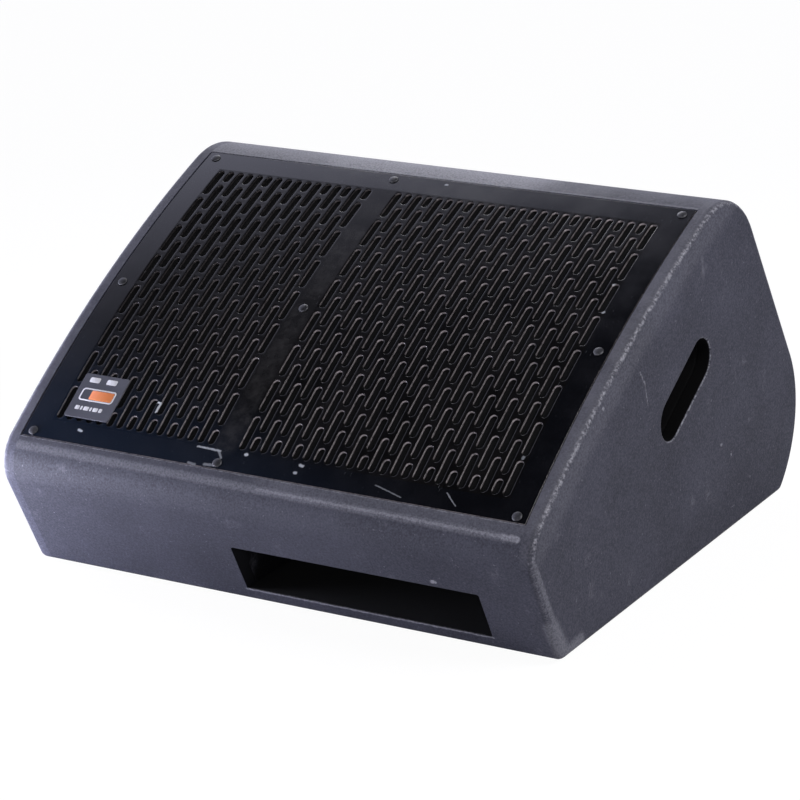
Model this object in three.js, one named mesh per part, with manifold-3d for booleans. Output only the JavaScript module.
// A low two-way stage monitor wedge: a plywood cabinet with a bowed, slotted steel grille, a 12-inch
// woofer and a horn behind it, a wide low port in the front and a hand-hold in each side.
// Millimetres, +Z up. X is the width, Y runs from the front to the back, and the wedge stands on Z = 0.
import * as THREE from "three";
import { mergeVertices } from "three/addons/utils/BufferGeometryUtils.js";
import Module from "manifold-3d";

const wasm = await Module();
wasm.setup();

// ---- Driving dimensions -------------------------------------------------------------------------

const WIDTH = 590;
const PLY = 15; // plywood of the cabinet's shell
const GAP = 0.3; // between pieces that touch
const FOOT_HEIGHT = 4;
const FOOT_RADIUS = 16;

// The side profile, from the virtual corner at the nose (y = 0) and the cabinet's bottom (z = 0).
const BASE_FRONT = 60;
const BASE_BACK = 543;
const NOSE_HEIGHT = 125;
const FRONT_CHORD = 498;
const FRONT_SLOPE = THREE.MathUtils.degToRad(28.6);
const FRONT_BOW = 22; // how far the curved front stands above its chord
const BACK_CORNER = new THREE.Vector2(613, 67);
const NOSE_RADIUS = 40;
const RIDGE_RADIUS = 86;
const REAR_RADIUS = 112;

// The port is a slot in the lower front, right above the bottom panel.
const PORT_LEFT = -42;
const PORT_RIGHT = 227;
const PORT_TOP = 66;
const DUCT_DEPTH = 170;
const DUCT_WALL = 12;

// Hand-holds: a slot with round ends in each side, along the slope of the front.
const HOLD_CENTRE = new THREE.Vector2(320.5, 180.5);
const HOLD_SLOPE = THREE.MathUtils.degToRad(31);
const HOLD_LENGTH = 118;
const HOLD_WIDTH = 43;
const CUP_DEPTH = 45;
const CUP_WALL = 2;
const CUP_LIP = 9;

// The grille, measured along the curve of the front from the virtual nose corner.
const GRILLE_BOTTOM = 32;
const GRILLE_TOP = 437;
const GRILLE_HALF = WIDTH / 2 - PLY - 1.2;
const GRILLE_DEPTH = 0.5; // how far it lies below the edges of the sides
const GRILLE_SHEET = 2;
const SLOT_COLUMNS = 43;
const BLANK_COLUMNS = [16, 17];
const COLUMN_PITCH = 11.8;
const SLOT_PITCH = 44.6;
const SLOT_LENGTH = 38.5;
const SLOT_WIDTH = 7;
const SLOTS_TOP = 408.3;
const SLOT_ROWS = 8;
const SEAT_DEPTH = GRILLE_DEPTH + GRILLE_SHEET + GAP; // of the ledges that the grille lies on
const LEDGE = 20;
const LEDGE_THICKNESS = 12;
const LEDGE_CLEARANCE = 4; // from the ledges to what lies between them
const BRACE_X = (BLANK_COLUMNS[0] + 0.5 - (SLOT_COLUMNS - 1) / 2) * COLUMN_PITCH;
const BRACE_WIDTH = 16;
const BATTEN_WIDTH = 20;
const SCREW_X = [-268, BRACE_X, 268];
const SCREW_ALONG = [38.5, 231.5, 427.5];
const SCREW_SHANK = 2;
const SCREW_HEAD = 4.6;

const BADGE_SIZE = 52;
const BADGE_X = -217;
const BADGE_ALONG = 86.5;
const BADGE_SHEET = 1.2;

// The baffle is flat, parallel to the chord of the front, and carries both drivers.
const BAFFLE_DEPTH = 26;
const BAFFLE_PLY = 18;
const BAFFLE_START = 17.5;
const BAFFLE_END = 460;
const DRIVER_ALONG = 231.5;
const WOOFER_X = (BRACE_X + BRACE_WIDTH / 2 + WIDTH / 2 - PLY - BATTEN_WIDTH) / 2;
const WOOFER_HOLE = 141;
const FLANGE_RADIUS = 151;
const COIL_RADIUS = 38;
const TERMINAL_ANGLE = (Math.PI * 5) / 6;
const TERMINAL_REACH = 133;
const HORN_X = (BRACE_X - BRACE_WIDTH / 2 - WIDTH / 2 + PLY + BATTEN_WIDTH) / 2;
const HORN_FLANGE = new THREE.Vector2(188, 230);
const HORN_MOUTH = new THREE.Vector2(168, 208);
const HORN_LENGTH = 92;
const THROAT_RADIUS = 13;

const INNER_HALF = WIDTH / 2 - PLY - GAP; // half the width between the sides, less the gap
const ROUND_STEPS = 20; // flats round the drivers' turned pieces

// ---- Colours and finishes -----------------------------------------------------------------------

const finish = (color, roughness, metalness) =>
  new THREE.MeshStandardMaterial({ color, roughness, metalness });
const PAINT = finish(0x4a4b55, 0.75, 0);
const BARE_PLY = finish(0xb9935f, 0.8, 0);
const BLACK_STEEL = finish(0x17181c, 0.3, 0.4);
const ZINC = finish(0x9a9da3, 0.4, 0.9);
const CAST_METAL = finish(0x2a2b2e, 0.5, 0.6);
const FERRITE = finish(0x303033, 0.7, 0.1);
const PAPER = finish(0x1d1d1f, 0.9, 0);
const CLOTH = finish(0xa06a2c, 0.9, 0);
const COPPER = finish(0xb06a3a, 0.35, 0.9);
const MOULDED = finish(0x151517, 0.5, 0);
const RUBBER = finish(0x121214, 0.85, 0);
const FOAM = finish(0x101011, 1, 0);
const LABEL_GREY = finish(0x5c5f68, 0.4, 0.2);
const BOARD_GREEN = finish(0x1f5a3a, 0.6, 0);
const TITANIUM = finish(0x8d8f94, 0.35, 0.9);

// ---- Groups: the whole part, the side profile's frame, and the frame of the front ----------------

const part = new THREE.Group();
const profile = new THREE.Group(); // y and z as in the side profile
const front = new THREE.Group(); // x across, y up the slope of the chord, z out of the front
part.add(profile);
profile.add(front);
front.position.z = NOSE_HEIGHT;
front.rotation.x = FRONT_SLOPE;

function add(parent, name, geometry, material) {
  const mesh = new THREE.Mesh(geometry, material);
  mesh.name = name;
  parent.add(mesh);
  return mesh;
}

// ---- Solids and booleans ------------------------------------------------------------------------

function toSolid(geometry) {
  const bare = geometry.clone();
  bare.deleteAttribute("normal");
  bare.deleteAttribute("uv");
  const merged = mergeVertices(bare, 1e-4);
  return new wasm.Manifold(
    new wasm.Mesh({
      numProp: 3,
      vertProperties: merged.attributes.position.array,
      triVerts: new Uint32Array(merged.index.array),
    }),
  );
}

function toGeometry(solid) {
  const mesh = solid.getMesh();
  const geometry = new THREE.BufferGeometry();
  geometry.setAttribute("position", new THREE.BufferAttribute(mesh.vertProperties, 3));
  geometry.setIndex(new THREE.BufferAttribute(mesh.triVerts, 1));
  return geometry;
}

// The first geometry less all the others.
function cut(geometry, ...cutters) {
  return toGeometry(cutters.reduce((left, c) => left.subtract(toSolid(c)), toSolid(geometry)));
}

// All the geometries as one body.
function join(...geometries) {
  return toGeometry(geometries.map(toSolid).reduce((whole, g) => whole.add(g)));
}

// ---- Shape helpers ------------------------------------------------------------------------------

const ACROSS = new THREE.Matrix4().makeBasis(
  new THREE.Vector3(0, 1, 0),
  new THREE.Vector3(0, 0, 1),
  new THREE.Vector3(1, 0, 0),
);

// A section in the y-z plane, extruded across the width from one x to another.
function alongX(points, fromX, toX, holes = []) {
  const shape = new THREE.Shape(points);
  shape.holes = holes.map((hole) => new THREE.Path(hole));
  return new THREE.ExtrudeGeometry(shape, { depth: toX - fromX, bevelEnabled: false })
    .translate(0, 0, fromX)
    .applyMatrix4(ACROSS);
}

function box(x0, x1, y0, y1, z0, z1) {
  return new THREE.BoxGeometry(x1 - x0, y1 - y0, z1 - z0).translate(
    (x0 + x1) / 2,
    (y0 + y1) / 2,
    (z0 + z1) / 2,
  );
}

// A closed profile of [radius, height] pairs turned about the z axis, whichever way round it runs.
function turned(pairs, segments = ROUND_STEPS) {
  const points = pairs.map(([r, h]) => new THREE.Vector2(r, h));
  if (THREE.ShapeUtils.area(points) < 0) points.reverse();
  points.push(points[0].clone());
  return new THREE.LatheGeometry(points, segments).rotateX(Math.PI / 2);
}

// A solid of revolution whose profile starts and ends on the axis.
function turnedSolid(pairs, segments = ROUND_STEPS) {
  const points = pairs.map(([r, h]) => new THREE.Vector2(r, h));
  if (points[0].y > points[points.length - 1].y) points.reverse();
  return new THREE.LatheGeometry(points, segments).rotateX(Math.PI / 2);
}

function arc(centre, radius, from, to, steps) {
  return Array.from({ length: steps + 1 }, (_, i) => {
    const angle = from + ((to - from) * i) / steps;
    return new THREE.Vector2(Math.cos(angle), Math.sin(angle)).multiplyScalar(radius).add(centre);
  });
}

// A slot outline with round ends.
function pill(centre, slope, length, width, steps = 6) {
  const reach = new THREE.Vector2(Math.cos(slope), Math.sin(slope)).multiplyScalar((length - width) / 2);
  return [
    ...arc(centre.clone().add(reach), width / 2, slope - Math.PI / 2, slope + Math.PI / 2, steps),
    ...arc(centre.clone().sub(reach), width / 2, slope + Math.PI / 2, slope + 1.5 * Math.PI, steps),
  ];
}

// A wire of round section along a smooth curve through the points.
function wire(points, radius, steps = 12) {
  const path = new THREE.CatmullRomCurve3(points.map((p) => new THREE.Vector3(...p)));
  const section = new THREE.Shape(arc(new THREE.Vector2(), radius, 0, (Math.PI * 5) / 3, 5));
  return new THREE.ExtrudeGeometry(section, { steps, extrudePath: path });
}

// ---- The side profile ---------------------------------------------------------------------------

const noseCorner = new THREE.Vector2(0, NOSE_HEIGHT);
const chordWay = new THREE.Vector2(Math.cos(FRONT_SLOPE), Math.sin(FRONT_SLOPE));
const inward = new THREE.Vector2(Math.sin(FRONT_SLOPE), -Math.cos(FRONT_SLOPE));
const ridgeCorner = noseCorner.clone().addScaledVector(chordWay, FRONT_CHORD);
const baseFront = new THREE.Vector2(BASE_FRONT, 0);
const baseBack = new THREE.Vector2(BASE_BACK, 0);

// The front is one arc with its centre deep below the cabinet.
const FRONT_RADIUS = FRONT_CHORD ** 2 / (8 * FRONT_BOW) + FRONT_BOW / 2;
const frontCentre = noseCorner
  .clone()
  .addScaledVector(chordWay, FRONT_CHORD / 2)
  .addScaledVector(inward, FRONT_RADIUS - FRONT_BOW);
const noseAngle = noseCorner.clone().sub(frontCentre).angle();

// The point at a distance along the front's curve, some depth below its surface.
function frontPoint(along, depth = 0) {
  const angle = noseAngle - along / FRONT_RADIUS;
  return new THREE.Vector2(Math.cos(angle), Math.sin(angle))
    .multiplyScalar(FRONT_RADIUS - depth)
    .add(frontCentre);
}

function frontRun(fromAlong, toAlong, depth, steps) {
  return Array.from({ length: steps + 1 }, (_, i) =>
    frontPoint(fromAlong + ((toAlong - fromAlong) * i) / steps, depth),
  );
}

// The arc that rounds the corner between the curved front and a straight panel that leaves it.
function roundToFront(corner, away, inside, radius) {
  const way = away.clone().sub(corner).normalize();
  const start = corner.clone().addScaledVector(inside, radius).sub(frontCentre);
  const along = start.dot(way);
  const room = (FRONT_RADIUS - radius) ** 2 - start.lengthSq();
  const roots = [-1, 1].map((sign) => -along + sign * Math.sqrt(along ** 2 + room));
  const reach = Math.min(...roots.filter((root) => root > 0));
  const centre = corner.clone().addScaledVector(inside, radius).addScaledVector(way, reach);
  return {
    centre,
    onPanel: corner.clone().addScaledVector(way, reach),
    panelAngle: inside.clone().negate().angle(),
    frontAngle: centre.clone().sub(frontCentre).angle(),
  };
}

const lowerWay = baseFront.clone().sub(noseCorner).normalize();
const lowerIn = new THREE.Vector2(-lowerWay.y, lowerWay.x);
const backWay = BACK_CORNER.clone().sub(ridgeCorner).normalize();
const backIn = new THREE.Vector2(backWay.y, -backWay.x);
const tuckWay = baseBack.clone().sub(BACK_CORNER).normalize();
const tuckIn = new THREE.Vector2(tuckWay.y, -tuckWay.x);

const nose = roundToFront(noseCorner, baseFront, lowerIn, NOSE_RADIUS);
const ridge = roundToFront(ridgeCorner, BACK_CORNER, backIn, RIDGE_RADIUS);

// The rear corner is between two straight lines.
const rearHalf = Math.acos(backWay.clone().negate().dot(tuckWay)) / 2;
const rearReach = REAR_RADIUS / Math.tan(rearHalf);
const rearStart = BACK_CORNER.clone().addScaledVector(backWay, -rearReach);
const rearEnd = BACK_CORNER.clone().addScaledVector(tuckWay, rearReach);
const rearCentre = rearStart.clone().addScaledVector(backIn, REAR_RADIUS);
const rearFrom = backIn.clone().negate().angle();
const rearTo = tuckIn.clone().negate().angle() - 2 * Math.PI;

// The part's origin is under the middle of its depth.
const foremost = nose.centre.x - NOSE_RADIUS;
const rearmost = rearCentre.x + REAR_RADIUS;
profile.position.set(0, -(foremost + rearmost) / 2, FOOT_HEIGHT);

const noseArc = (inset, toAngle = nose.frontAngle, steps = 7) =>
  arc(nose.centre, NOSE_RADIUS - inset, nose.panelAngle, toAngle, steps);
const ridgeArc = (inset, fromAngle = ridge.frontAngle, steps = 10) =>
  arc(ridge.centre, RIDGE_RADIUS - inset, fromAngle, ridge.panelAngle, steps);
const rearArc = (inset, steps = 10) => arc(rearCentre, REAR_RADIUS - inset, rearFrom, rearTo, steps);

const noseAlong = (noseAngle - nose.frontAngle) * FRONT_RADIUS;
const ridgeAlong = (noseAngle - ridge.frontAngle) * FRONT_RADIUS;
const sideOutline = [
  baseFront,
  ...noseArc(0),
  ...frontRun(noseAlong, ridgeAlong, 0, 12).slice(1, -1),
  ...ridgeArc(0),
  ...rearArc(0),
  baseBack,
].reverse();

// ---- Screw places -------------------------------------------------------------------------------

// Turns a piece made at the origin, pointing up z, onto the front's curve.
function ontoFront(geometry, x, along, depth = 0) {
  const at = frontPoint(along, depth);
  const angle = noseAngle - along / FRONT_RADIUS;
  return geometry.rotateX(angle - Math.PI / 2).translate(x, at.x, at.y);
}

const screwPlaces = SCREW_ALONG.flatMap((along) => SCREW_X.map((x) => ({ x, along })));
const pilotHoles = screwPlaces.map(({ x, along }) =>
  ontoFront(new THREE.CylinderGeometry(2.4, 2.4, 30, 8).rotateX(Math.PI / 2), x, along, SEAT_DEPTH),
);
const pilotsNear = (test) => pilotHoles.filter((_, i) => test(screwPlaces[i]));

// ---- Cabinet ------------------------------------------------------------------------------------

function buildSides() {
  for (const [name, side] of [["left", -1], ["right", 1]]) {
    const outer = (side * WIDTH) / 2;
    const inner = outer - side * PLY;
    const slot = pill(HOLD_CENTRE, HOLD_SLOPE, HOLD_LENGTH, HOLD_WIDTH);
    const panel = alongX(sideOutline, Math.min(outer, inner), Math.max(outer, inner), [slot]);
    add(profile, `side_panel_${name}`, panel, PAINT);

    // The cup behind the slot keeps the cabinet closed: a tray with a lip against the panel.
    const cupOuter = [HOLD_LENGTH + 2 * CUP_WALL, HOLD_WIDTH + 2 * CUP_WALL];
    const layer = (length, width, x0, x1) => {
      const ends = [inner - side * (GAP + x0), inner - side * (GAP + x1)];
      const section = pill(HOLD_CENTRE, HOLD_SLOPE, length, width);
      return alongX(section, Math.min(...ends), Math.max(...ends));
    };
    const tray = layer(...cupOuter, 0, CUP_DEPTH);
    const lip = layer(cupOuter[0] + 2 * CUP_LIP, cupOuter[1] + 2 * CUP_LIP, 0, CUP_WALL);
    const hollow = layer(HOLD_LENGTH, HOLD_WIDTH, -1, CUP_DEPTH - CUP_WALL);
    add(profile, `handle_cup_${name}`, cut(join(tray, lip), hollow), MOULDED);
  }
}

// Where the line of the lower front, some depth inside it, is at a given height.
function lowerFrontAt(height, depth) {
  const start = baseFront.clone().addScaledVector(lowerIn, depth);
  return start.addScaledVector(lowerWay, (height - start.y) / lowerWay.y);
}

// The inner corner where the bottom panel and the tuck under the back meet.
const tuckCorner = (() => {
  const start = baseBack.clone().addScaledVector(tuckIn, PLY);
  return start.addScaledVector(tuckWay, (PLY - start.y) / tuckWay.y);
})();

function buildShell() {
  const mitre = new THREE.Vector2(GAP, 0);
  const bottom = [
    baseFront,
    baseBack.clone().sub(mitre),
    tuckCorner.clone().sub(mitre),
    lowerFrontAt(PLY, 0),
  ];
  add(profile, "bottom_panel", alongX(bottom, -INNER_HALF, INNER_HALF), PAINT);

  const lowerTop = nose.onPanel.clone().addScaledVector(lowerWay, GAP);
  const lowerFront = [
    lowerFrontAt(PLY + GAP, 0),
    lowerFrontAt(PLY + GAP, PLY),
    lowerTop.clone().addScaledVector(lowerIn, PLY),
    lowerTop,
  ];
  const port = box(PORT_LEFT, PORT_RIGHT, 0, 200, 0, PORT_TOP);
  add(profile, "lower_front_panel", cut(alongX(lowerFront, -INNER_HALF, INNER_HALF), port), PAINT);

  // The rounded nose, with the ledge that the grille's lower edge lies on.
  const noseTo = frontPoint(GRILLE_BOTTOM - 0.6).sub(nose.centre).angle();
  const noseSection = [
    ...noseArc(0, noseTo),
    frontPoint(GRILLE_BOTTOM - 0.6, SEAT_DEPTH),
    frontPoint(GRILLE_BOTTOM + LEDGE, SEAT_DEPTH),
    frontPoint(GRILLE_BOTTOM + LEDGE, SEAT_DEPTH + LEDGE_THICKNESS),
    ...noseArc(PLY).reverse(),
  ];
  const noseScrews = pilotsNear(({ along }) => along === SCREW_ALONG[0]);
  add(profile, "nose_rail", cut(alongX(noseSection, -INNER_HALF, INNER_HALF), ...noseScrews), PAINT);

  // The thick rounded ridge, with the ledge for the grille's upper edge.
  const ridgeFrom = frontPoint(GRILLE_TOP + 0.6).sub(ridge.centre).angle();
  const ridgeInner = frontPoint(GRILLE_TOP + 6, SEAT_DEPTH + LEDGE_THICKNESS).sub(ridge.centre).angle();
  const ridgeSection = [
    ...ridgeArc(0, ridgeFrom),
    ...ridgeArc(PLY, ridgeInner).reverse(),
    frontPoint(GRILLE_TOP - LEDGE, SEAT_DEPTH + LEDGE_THICKNESS),
    frontPoint(GRILLE_TOP - LEDGE, SEAT_DEPTH),
    frontPoint(GRILLE_TOP + 0.6, SEAT_DEPTH),
  ];
  const ridgeScrews = pilotsNear(({ along }) => along === SCREW_ALONG[2]);
  add(profile, "ridge_rail", cut(alongX(ridgeSection, -INNER_HALF, INNER_HALF), ...ridgeScrews), PAINT);

  const backTop = ridge.onPanel.clone().addScaledVector(backWay, GAP);
  const back = [backTop, rearStart].flatMap((p) => [p, p.clone().addScaledVector(backIn, PLY)]);
  const backSection = [back[0], back[1], back[3], back[2]];
  const [holeX, holeY] = [PANEL_HOLE.x / 2, PANEL_HOLE.y / 2];
  const opening = onBack(box(-holeX, holeX, -holeY, holeY, -40, 40));
  add(profile, "back_panel", cut(alongX(backSection, -INNER_HALF, INNER_HALF), opening), PAINT);

  // The big rounded corner at the foot of the back, down to its mitre with the bottom.
  const rearSection = [
    ...rearArc(0).map((p, i) => (i === 0 ? p.addScaledVector(backWay, GAP) : p)),
    baseBack,
    tuckCorner,
    ...rearArc(PLY)
      .map((p, i) => (i === 0 ? p.addScaledVector(backWay, GAP) : p))
      .reverse(),
  ];
  add(profile, "rear_corner_rail", alongX(rearSection, -INNER_HALF, INNER_HALF), PAINT);
}

function buildDuct() {
  const shelfFront = lowerFrontAt(PORT_TOP, PLY + GAP).x;
  const shelfSection = [
    lowerFrontAt(PORT_TOP + GAP, PLY + GAP),
    new THREE.Vector2(DUCT_DEPTH, PORT_TOP + GAP),
    new THREE.Vector2(DUCT_DEPTH, PORT_TOP + DUCT_WALL),
    lowerFrontAt(PORT_TOP + DUCT_WALL, PLY + GAP),
  ];
  const shelf = alongX(shelfSection, PORT_LEFT - DUCT_WALL, PORT_RIGHT + DUCT_WALL);
  add(profile, "port_shelf", shelf, PAINT);
  const wallSection = [
    lowerFrontAt(PLY + GAP, PLY + GAP),
    new THREE.Vector2(DUCT_DEPTH, PLY + GAP),
    new THREE.Vector2(DUCT_DEPTH, PORT_TOP),
    new THREE.Vector2(shelfFront, PORT_TOP),
  ];
  add(profile, "port_wall_left", alongX(wallSection, PORT_LEFT - DUCT_WALL, PORT_LEFT), PAINT);
  add(profile, "port_wall_right", alongX(wallSection, PORT_RIGHT, PORT_RIGHT + DUCT_WALL), PAINT);
}

function buildBaffle() {
  const back = -BAFFLE_DEPTH - BAFFLE_PLY;
  const board = box(-INNER_HALF, INNER_HALF, BAFFLE_START, BAFFLE_END, back, -BAFFLE_DEPTH);
  const wooferHole = new THREE.CylinderGeometry(WOOFER_HOLE, WOOFER_HOLE, 60, ROUND_STEPS)
    .rotateX(Math.PI / 2)
    .translate(WOOFER_X, DRIVER_ALONG, -BAFFLE_DEPTH);
  const halfX = HORN_FLANGE.x / 2 - 5;
  const halfY = HORN_FLANGE.y / 2 - 6;
  const hornHole = box(HORN_X - halfX, HORN_X + halfX, DRIVER_ALONG - halfY, DRIVER_ALONG + halfY, -80, 0);
  add(front, "baffle", cut(board, wooferHole, hornHole), BARE_PLY);

  // The battens and the brace stand on the baffle and carry the grille.
  const from = GRILLE_BOTTOM + LEDGE + LEDGE_CLEARANCE;
  const to = GRILLE_TOP - LEDGE - LEDGE_CLEARANCE;
  const onBaffle = (along) => {
    const far = frontPoint(along).sub(noseCorner).dot(chordWay);
    return noseCorner
      .clone()
      .addScaledVector(chordWay, far)
      .addScaledVector(inward, BAFFLE_DEPTH - GAP);
  };
  const section = [onBaffle(to), ...frontRun(to, from, SEAT_DEPTH, 8), onBaffle(from)];
  const bars = {
    grille_batten_left: [-INNER_HALF, -INNER_HALF + BATTEN_WIDTH],
    grille_brace: [BRACE_X - BRACE_WIDTH / 2, BRACE_X + BRACE_WIDTH / 2],
    grille_batten_right: [INNER_HALF - BATTEN_WIDTH, INNER_HALF],
  };
  for (const [name, [x0, x1]] of Object.entries(bars)) {
    const screws = pilotsNear(({ x, along }) => along === SCREW_ALONG[1] && x > x0 && x < x1);
    add(profile, name, cut(alongX(section, x0, x1), ...screws), BARE_PLY);
  }
}

// ---- Grille, foam, screws, badge ----------------------------------------------------------------

// The slots of one column: whole ones, or a half at each end where the column is staggered.
function slotSpans(column) {
  const bottom = SLOTS_TOP - (SLOT_ROWS - 1) * SLOT_PITCH - SLOT_LENGTH;
  const staggered = column % 2 === 1;
  return Array.from({ length: SLOT_ROWS + (staggered ? 1 : 0) }, (_, row) => {
    const top = SLOTS_TOP - row * SLOT_PITCH + (staggered ? SLOT_PITCH / 2 : 0);
    return [Math.max(top - SLOT_LENGTH, bottom), Math.min(top, SLOTS_TOP)];
  });
}

// Triangles between two rows of points that run the same way, the first on the left of the run.
function strip(left, right, key) {
  const triangles = [];
  let i = 0;
  let j = 0;
  while (i < left.length - 1 || j < right.length - 1) {
    const stepLeft =
      j === right.length - 1 || (i < left.length - 1 && left[i + 1][key] <= right[j + 1][key]);
    triangles.push([left[i], right[j], stepLeft ? left[i + 1] : right[j + 1]]);
    if (stepLeft) i += 1;
    else j += 1;
  }
  return triangles;
}

// Gives a flat pattern of triangles a thickness, and bends it onto the front: y runs along the curve.
function bentSheet(triangles, depth, thickness) {
  const indexOf = new Map();
  const points = [];
  const number = (p) => {
    const name = `${p.x.toFixed(3)} ${p.y.toFixed(3)}`;
    if (!indexOf.has(name)) indexOf.set(name, points.push(p) - 1);
    return indexOf.get(name);
  };
  const faces = triangles.map((triangle) => triangle.map(number));
  const count = points.length;
  const index = faces.flatMap(([a, b, c]) => [a, b, c, a + count, c + count, b + count]);
  const edges = faces.flatMap(([a, b, c]) => [[a, b], [b, c], [c, a]]);
  const known = new Set(edges.map(([a, b]) => `${a} ${b}`));
  for (const [a, b] of edges) {
    if (!known.has(`${b} ${a}`)) index.push(a, a + count, b + count, a, b + count, b);
  }
  const layer = (below) =>
    points.map((p) => {
      const at = frontPoint(p.y, below);
      return new THREE.Vector3(p.x, at.x, at.y);
    });
  const geometry = new THREE.BufferGeometry();
  geometry.setFromPoints([...layer(depth), ...layer(depth + thickness)]);
  geometry.setIndex(index);
  return geometry;
}

// Upright bars between the columns of slots, short bridges across each column, and a plain border.
function buildGrille() {
  const everyColumn = Array.from({ length: SLOT_COLUMNS }, (_, i) => i);
  const columns = everyColumn.filter((i) => !BLANK_COLUMNS.includes(i));
  const centreOf = (column) => (column - (SLOT_COLUMNS - 1) / 2) * COLUMN_PITCH;
  const side = (column, way) =>
    slotSpans(column)
      .flat()
      .sort((p, q) => p - q)
      .map((y) => new THREE.Vector2(centreOf(column) + (way * SLOT_WIDTH) / 2, y));
  const row = (x0, x1, y0, y1, steps) =>
    Array.from({ length: steps + 1 }, (_, i) =>
      new THREE.Vector2(x0, y0).lerp(new THREE.Vector2(x1, y1), i / steps),
    );
  const field = [...slotSpans(0).flat()].sort((p, q) => p - q);
  const low = field[0];
  const high = field[field.length - 1];
  const borderLeft = row(-GRILLE_HALF, -GRILLE_HALF, low, high, 14);
  const borderRight = row(GRILLE_HALF, GRILLE_HALF, low, high, 14);

  const triangles = [];
  columns.forEach((column, i) => {
    const before = i === 0 ? borderLeft : side(columns[i - 1], 1);
    triangles.push(...strip(before, side(column, -1), "y"));
    const left = side(column, -1);
    const right = side(column, 1);
    for (let k = 1; k < left.length - 1; k += 2) {
      triangles.push(...strip(left.slice(k, k + 2), right.slice(k, k + 2), "y"));
    }
  });
  triangles.push(...strip(side(columns[columns.length - 1], 1), borderRight, "y"));
  for (const [edge, inner] of [[GRILLE_TOP, high], [GRILLE_BOTTOM, low]]) {
    const outside = row(-GRILLE_HALF, GRILLE_HALF, edge, edge, 12);
    const slotEdges = columns.flatMap((column) =>
      [-1, 1].map((way) => centreOf(column) + (way * SLOT_WIDTH) / 2),
    );
    const inside = [-GRILLE_HALF, ...slotEdges, GRILLE_HALF].map((x) => new THREE.Vector2(x, inner));
    triangles.push(...(edge > inner ? strip(outside, inside, "x") : strip(inside, outside, "x")));
  }
  const sheet = bentSheet(triangles, GRILLE_DEPTH, GRILLE_SHEET);
  add(profile, "grille", cut(sheet, ...pilotHoles), BLACK_STEEL);
}

function buildFoam() {
  const from = GRILLE_BOTTOM + LEDGE + LEDGE_CLEARANCE;
  const to = GRILLE_TOP - LEDGE - LEDGE_CLEARANCE;
  const top = SEAT_DEPTH + GAP;
  const section = [...frontRun(to, from, top, 8), ...frontRun(from, to, top + 8, 8)];
  const edge = INNER_HALF - BATTEN_WIDTH - 1;
  const braceEdge = BRACE_WIDTH / 2 + 1;
  add(profile, "foam_left", alongX(section, -edge, BRACE_X - braceEdge), FOAM);
  add(profile, "foam_right", alongX(section, BRACE_X + braceEdge, edge), FOAM);
}

function buildGrilleScrews() {
  const rows = ["bottom", "middle", "top"];
  const columns = ["left", "centre", "right"];
  const profilePairs = [
    [0, -11],
    [SCREW_SHANK, -9],
    [SCREW_SHANK, GAP],
    [SCREW_HEAD, GAP],
    [SCREW_HEAD * 0.8, 2],
    [0, 2.6],
  ];
  screwPlaces.forEach(({ x, along }, i) => {
    const name = `grille_screw_${rows[Math.floor(i / 3)]}_${columns[i % 3]}`;
    const screw = ontoFront(turnedSolid(profilePairs, 8), x, along, GRILLE_DEPTH);
    add(profile, name, screw, BLACK_STEEL);
  });
}

function buildBadge() {
  const half = BADGE_SIZE / 2;
  const plate = box(-half, half, -half, half, GAP, GAP + BADGE_SHEET);
  add(profile, "badge_plate", ontoFront(plate, BADGE_X, BADGE_ALONG, GRILLE_DEPTH), LABEL_GREY);
}

// ---- Woofer -------------------------------------------------------------------------------------

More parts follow.
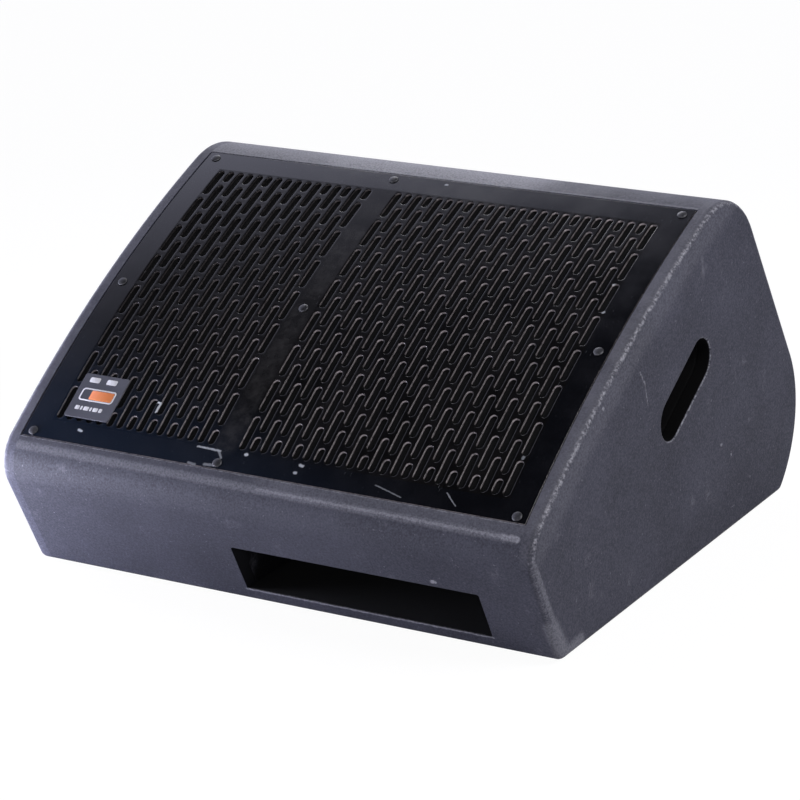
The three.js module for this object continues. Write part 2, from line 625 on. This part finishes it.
// Its own frame: z = 0 on the baffle's front face, +z out of the cabinet.
function buildWoofer() {
  const woofer = new THREE.Group();
  woofer.position.set(WOOFER_X, DRIVER_ALONG, -BAFFLE_DEPTH);
  front.add(woofer);

  const bowl = turned([
    [FLANGE_RADIUS, GAP],
    [FLANGE_RADIUS, 5],
    [134, 5],
    [131, -6],
    [100, -52],
    [84, -62],
    [80, -86],
    [46, -86],
    [46, -90],
    [83, -90],
    [88, -64],
    [104, -54],
    [138, -8],
    [139, GAP],
  ]);
  const windows = [0, 1, 2].map((i) => box(-200, 200, -30, 30, -47, -14).rotateZ((i * Math.PI) / 3));
  add(woofer, "basket", cut(bowl, ...windows), CAST_METAL);

  // The edge of the cone: a lip on the basket, with the gasket moulded on, and one half roll.
  const rollCentre = new THREE.Vector2(128, 6);
  const roll = (radius, from, to) => arc(rollCentre, radius, from, to, 4).map((p) => [p.x, p.y]);
  add(
    woofer,
    "surround",
    turned([
      [149, 5.3],
      [149, 8],
      [142, 8],
      [141.5, 6.5],
      ...roll(6.5, 0, Math.PI),
      [120, 6.2],
      [120, 5.2],
      ...roll(5.5, Math.PI, 0),
    ]),
    RUBBER,
  );

  const cone = turned([
    [119.4, 4.9],
    [80, -20],
    [COIL_RADIUS + 1.2, -42],
    [COIL_RADIUS + 1.2, -43.6],
    [80, -21.8],
    [119.4, 3.4],
  ]);
  add(woofer, "cone", cone, PAPER);

  const cap = (radius, height) => [
    [0, -38 + height],
    [radius * 0.5, -38 + height * 0.8],
    [radius * 0.85, -38 + height * 0.35],
    [radius, -38],
  ];
  const dustCap = new THREE.LatheGeometry(
    [...cap(46, 15), ...cap(45, 14).reverse()].reverse().map(([r, h]) => new THREE.Vector2(r, h)),
    ROUND_STEPS,
  ).rotateX(Math.PI / 2);
  add(woofer, "dust_cap", dustCap, PAPER);

  const coil = turned([
    [COIL_RADIUS - 0.8, -43.9],
    [COIL_RADIUS + 0.2, -43.9],
    [COIL_RADIUS + 0.2, -88],
    [COIL_RADIUS + 1.2, -88],
    [COIL_RADIUS + 1.2, -104],
    [COIL_RADIUS - 0.8, -104],
  ]);
  add(woofer, "voice_coil", coil, COPPER);

  // The spider is a corrugated disc from the coil former out to the basket's ledge.
  const waves = 3;
  const ripple = (lift) =>
    Array.from({ length: waves * 2 + 1 }, (_, i) => [
      COIL_RADIUS + 0.6 + ((82.6 - COIL_RADIUS) * i) / (waves * 2),
      -66 + lift + (i % 2 ? 2 : 0),
    ]);
  add(woofer, "spider", turned([...ripple(0.5), ...ripple(-0.5).reverse()]), CLOTH);

  add(woofer, "top_plate", turned([[40.6, -90.3], [72, -90.3], [72, -98], [40.6, -98]]), ZINC);
  const magnetRing = [[45, -98.3], [80, -98.3], [80, -118], [45, -118]];
  add(woofer, "magnet", turned(magnetRing), FERRITE);
  const yoke = [[0, -126], [72, -126], [74, -124], [74, -118.3], [35.6, -118.3], [35.6, -91], [0, -91]];
  add(woofer, "pole_yoke", turnedSolid(yoke), ZINC);

  const terminal = box(TERMINAL_REACH - 10, TERMINAL_REACH, -14, 14, -46, -30).rotateZ(TERMINAL_ANGLE);
  add(woofer, "woofer_terminal", terminal, MOULDED);
}

// ---- Horn and compression driver ----------------------------------------------------------------

// One ring of the horn: a rectangle with round corners that turns into a circle.
function hornRing(width, height, squareness, z, count = 20) {
  return Array.from({ length: count }, (_, i) => {
    const angle = (2 * Math.PI * (i + 0.5)) / count;
    const c = Math.cos(angle);
    const s = Math.sin(angle);
    const power = 2 + 10 * squareness;
    const r = (Math.abs(c) ** power + Math.abs(s) ** power) ** (-1 / power);
    return new THREE.Vector3((width / 2) * r * c, (height / 2) * r * s, z);
  });
}

// A closed skin through rings that run right round a hollow body and meet the first again.
function ringLoop(rings) {
  const count = rings[0].length;
  const geometry = new THREE.BufferGeometry().setFromPoints(rings.flat());
  const index = [];
  rings.forEach((_, k) => {
    const next = (k + 1) % rings.length;
    for (let i = 0; i < count; i += 1) {
      const j = (i + 1) % count;
      const [a, b, c, d] = [k * count + i, k * count + j, next * count + j, next * count + i];
      index.push(a, b, c, a, c, d);
    }
  });
  geometry.setIndex(index);
  return geometry;
}

function buildHorn() {
  const hf = new THREE.Group();
  hf.position.set(HORN_X, DRIVER_ALONG, -BAFFLE_DEPTH);
  front.add(hf);

  // The flare widens with the square of the distance from the throat.
  const wall = 3;
  const flare = (t, grow) => {
    const widen = t * t * 0.8 + t * 0.2;
    const throat = 2 * THROAT_RADIUS;
    const width = throat + (HORN_MOUTH.x - throat) * widen + 2 * grow;
    const height = throat + (HORN_MOUTH.y - throat) * widen + 2 * grow;
    return hornRing(width, height, t * t, -HORN_LENGTH * (1 - t) + (grow ? GAP : 4) * t);
  };
  const stations = [1, 0.75, 0.5, 0.25, 0];
  const rings = [
    ...stations.map((t) => flare(t, 0)),
    hornRing(80, 80, 0, -HORN_LENGTH),
    hornRing(80, 80, 0, -HORN_LENGTH + 5),
    ...stations.slice(1, -1).reverse().map((t) => flare(t, wall)),
    hornRing(HORN_MOUTH.x + 2 * wall, HORN_MOUTH.y + 2 * wall, 1, GAP),
    hornRing(HORN_FLANGE.x, HORN_FLANGE.y, 1, GAP),
    hornRing(HORN_FLANGE.x, HORN_FLANGE.y, 1, 4),
  ];
  add(hf, "horn", ringLoop(rings), MOULDED);

  const back = -HORN_LENGTH - GAP;
  const throatPlate = turned([
    [THROAT_RADIUS, back],
    [42, back],
    [42, back - 7],
    [THROAT_RADIUS + 1, back - 7],
  ]);
  add(hf, "hf_throat_plate", throatPlate, ZINC);
  const motor = turned([
    [THROAT_RADIUS + 1, back - 7.3],
    [44, back - 7.3],
    [44, back - 27],
    [26, back - 27],
    [21, back - 30],
    [15, back - 25],
  ]);
  add(hf, "hf_motor", motor, FERRITE);

  const domeBase = back - 33;
  const domeArc = (radius, height) => [
    [0, domeBase - height],
    [radius * 0.55, domeBase - height * 0.75],
    [radius * 0.9, domeBase - height * 0.3],
    [radius, domeBase],
  ];
  const diaphragm = [
    ...domeArc(23, 9),
    [28, domeBase],
    [28, domeBase + 0.8],
    [25, domeBase + 0.8],
    [25, domeBase + 2.4],
    [24, domeBase + 2.4],
    [24, domeBase + 0.8],
    ...domeArc(22.2, 8.2).reverse(),
  ].map(([r, h]) => new THREE.Vector2(r, h));
  add(hf, "hf_diaphragm", new THREE.LatheGeometry(diaphragm, 16).rotateX(Math.PI / 2), TITANIUM);

  const cover = [
    [0, back - 58],
    [38, back - 58],
    [43, back - 53],
    [43, back - 27.3],
    [30, back - 27.3],
    [30, back - 46],
    [24, back - 52],
    [0, back - 52],
  ];
  const coverOutline = cover.map(([r, h]) => new THREE.Vector2(r, h));
  const coverGeometry = new THREE.LatheGeometry(coverOutline, ROUND_STEPS);
  add(hf, "hf_rear_cover", coverGeometry.rotateX(Math.PI / 2), CAST_METAL);
}

// ---- Connector plate on the back ----------------------------------------------------------------

const PANEL_HOLE = new THREE.Vector2(96, 56);
const PLATE = new THREE.Vector2(124, 84);
const PLATE_SHEET = 2;
const CONNECTOR_X = [-24, 24];
const backMiddle = ridge.onPanel.clone().add(rearStart).divideScalar(2);

// Turns a piece made in its own frame (x across, y up the back, z out of it) onto the back panel.
function onBack(geometry) {
  const tilt = Math.atan2(-backIn.y, -backIn.x);
  return geometry.rotateZ(Math.PI).rotateX(tilt - Math.PI / 2).translate(0, backMiddle.x, backMiddle.y);
}

function buildConnectors() {
  const hole = (x) =>
    new THREE.CylinderGeometry(13.4, 13.4, 20, 12).rotateX(Math.PI / 2).translate(x, 0, 0);
  const [halfX, halfY] = [PLATE.x / 2, PLATE.y / 2];
  const sheet = box(-halfX, halfX, -halfY, halfY, GAP, GAP + PLATE_SHEET);
  add(profile, "connector_plate", onBack(cut(sheet, ...CONNECTOR_X.map(hole))), BLACK_STEEL);
  CONNECTOR_X.forEach((x, i) => {
    const face = GAP + PLATE_SHEET + GAP;
    const socket = turnedSolid(
      [
        [0, -26],
        [12.8, -26],
        [12.8, face],
        [17, face],
        [17, face + 3],
        [11, face + 3],
        [11, -20],
        [0, -20],
      ],
      14,
    );
    add(profile, `speaker_socket_${i + 1}`, onBack(socket.translate(x, 0, 0)), MOULDED);
  });
}

// ---- Crossover and leads ------------------------------------------------------------------------

const BOARD = { x0: -240, x1: -100, y0: 400, y1: 500, z: PLY + 12 };

function buildCrossover() {
  const sheet = box(BOARD.x0, BOARD.x1, BOARD.y0, BOARD.y1, BOARD.z, BOARD.z + 1.6);
  const posts = [BOARD.x0 + 8, BOARD.x1 - 8].flatMap((x) =>
    [BOARD.y0 + 8, BOARD.y1 - 8].map((y) => box(x - 4, x + 4, y - 4, y + 4, PLY + GAP, BOARD.z + 0.5)),
  );
  add(profile, "crossover_board", join(sheet, ...posts), BOARD_GREEN);
  const onBoard = BOARD.z + 1.6 + GAP;
  const coil = (r0, r1, h) => turned([[r0, 0], [r1, 0], [r1, h], [r0, h]], 20);
  add(profile, "inductor_low", coil(11, 24, 22).translate(-205, 430, onBoard), COPPER);
  add(profile, "inductor_high", coil(7, 15, 14).translate(-122, 480, onBoard), COPPER);
  const can = (r, length) => new THREE.CylinderGeometry(r, r, length, 14).rotateZ(Math.PI / 2);
  add(profile, "capacitor_low", can(11, 42).translate(-145, 428, onBoard + 11), MOULDED);
  add(profile, "capacitor_high", can(8, 32).translate(-190, 480, onBoard + 8), MOULDED);
}

// Leads are fixed at both ends and lie inside the closed cabinet.
function buildLeads() {
  const toProfile = (x, along, out) => {
    const p = noseCorner.clone().addScaledVector(chordWay, along).addScaledVector(inward, -out);
    return [x, p.x, p.y];
  };
  const leadReach = TERMINAL_REACH + 4;
  const terminalX = WOOFER_X + leadReach * Math.cos(TERMINAL_ANGLE);
  const terminalAlong = DRIVER_ALONG + leadReach * Math.sin(TERMINAL_ANGLE);
  const wooferEnd = toProfile(terminalX, terminalAlong, -BAFFLE_DEPTH - 38);
  const driverEnd = toProfile(HORN_X, DRIVER_ALONG + 46, -BAFFLE_DEPTH - HORN_LENGTH - 20);
  const top = BOARD.z + 4;
  const routes = {
    woofer_lead: [
      wooferEnd,
      [terminalX - 26, wooferEnd[1] + 60, 130],
      [-60, 410, 60],
      [-92, 440, top],
      [-101.5, 440, top],
    ],
    hf_lead: [
      driverEnd,
      [HORN_X, driverEnd[1] + 40, 110],
      [HORN_X + 6, 372, 60],
      [-160, 394, top],
      [-160, 398, top],
    ],
    input_lead: [
      [-24, backMiddle.x - 33, backMiddle.y - 22],
      [-30, backMiddle.x - 60, backMiddle.y - 50],
      [-60, 478, 70],
      [-90, 462, top],
      [-97, 462, top],
    ],
  };
  for (const [name, points] of Object.entries(routes)) {
    add(profile, name, wire(points, 2.2), RUBBER);
  }
}

// ---- Feet ---------------------------------------------------------------------------------------

function buildFeet() {
  const foot = [
    [0, -FOOT_HEIGHT],
    [FOOT_RADIUS - 2, -FOOT_HEIGHT],
    [FOOT_RADIUS, -FOOT_HEIGHT + 1.5],
    [FOOT_RADIUS, -GAP],
    [0, -GAP],
  ];
  for (const [end, y] of [["front", BASE_FRONT + 45], ["rear", BASE_BACK - 45]]) {
    for (const [name, side] of [["left", -1], ["right", 1]]) {
      const x = side * (WIDTH / 2 - 50);
      add(profile, `foot_${end}_${name}`, turnedSolid(foot, 14).translate(x, y, 0), RUBBER);
    }
  }
}

buildSides();
buildShell();
buildDuct();
buildBaffle();
buildGrille();
buildFoam();
buildGrilleScrews();
buildBadge();
buildWoofer();
buildHorn();
buildConnectors();
buildCrossover();
buildLeads();
buildFeet();

export default part;
